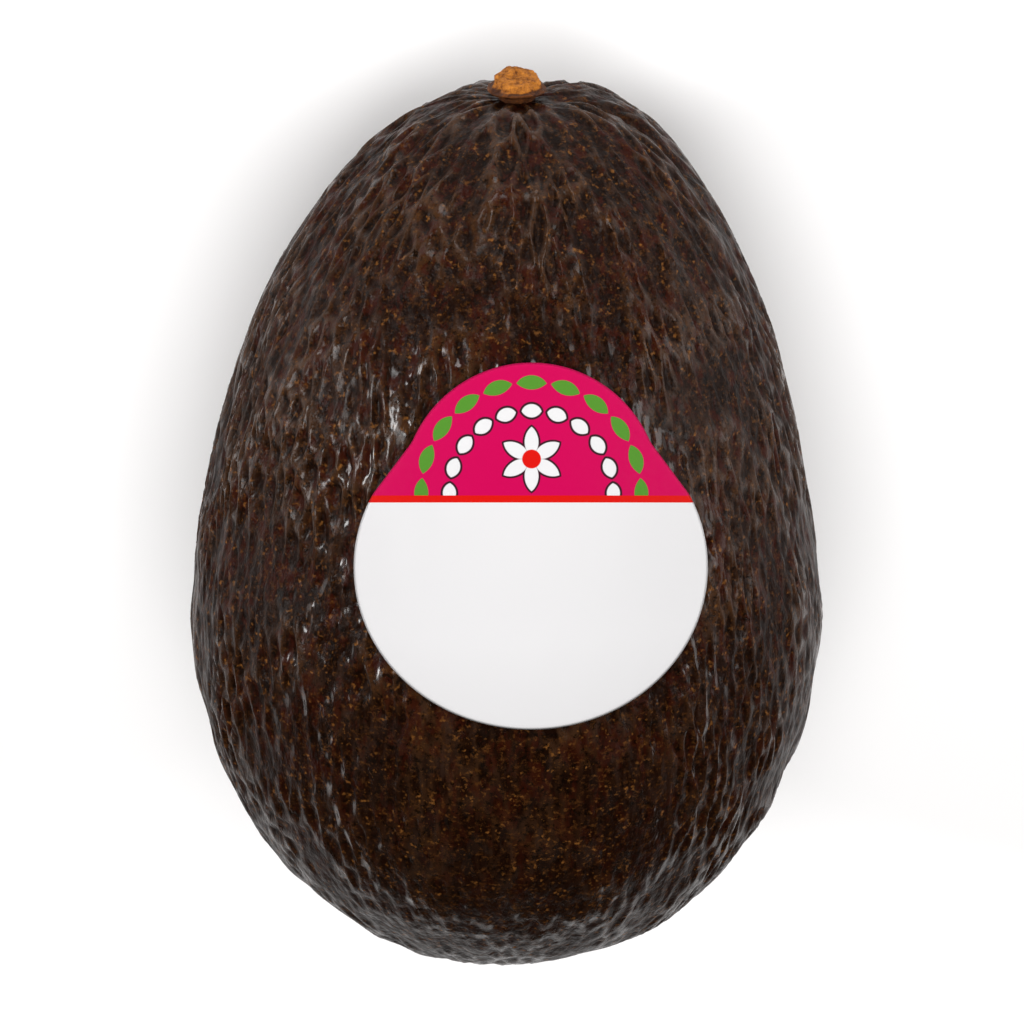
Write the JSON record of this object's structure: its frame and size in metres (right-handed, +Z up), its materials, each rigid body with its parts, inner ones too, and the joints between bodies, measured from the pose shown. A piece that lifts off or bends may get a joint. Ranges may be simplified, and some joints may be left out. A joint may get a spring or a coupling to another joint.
{
  "type": "avocado",
  "caption": "Whole ripe avocado with dark pebbly skin, a stub of stem and a paper price sticker, lying on its side.",
  "frame": {"origin": "middle of the small flat spot that the fruit lies on, under its weight", "axes": "+Z up, +Y towards the stem end, +X to the right with the sticker on top and the stem end away"},
  "size_m": [0.0712, 0.1034, 0.0705],
  "materials": {
    "fruit_skin": "satin, pebbly",
    "stem_wood": "rough bark with a bare cut face",
    "sticker_paper": "coated paper"
  },
  "bodies": {
    "root": {"fruit": "fruit_skin", "stem_button": "stem_wood", "sticker": "sticker_paper"}
  },
  "joints": []
}
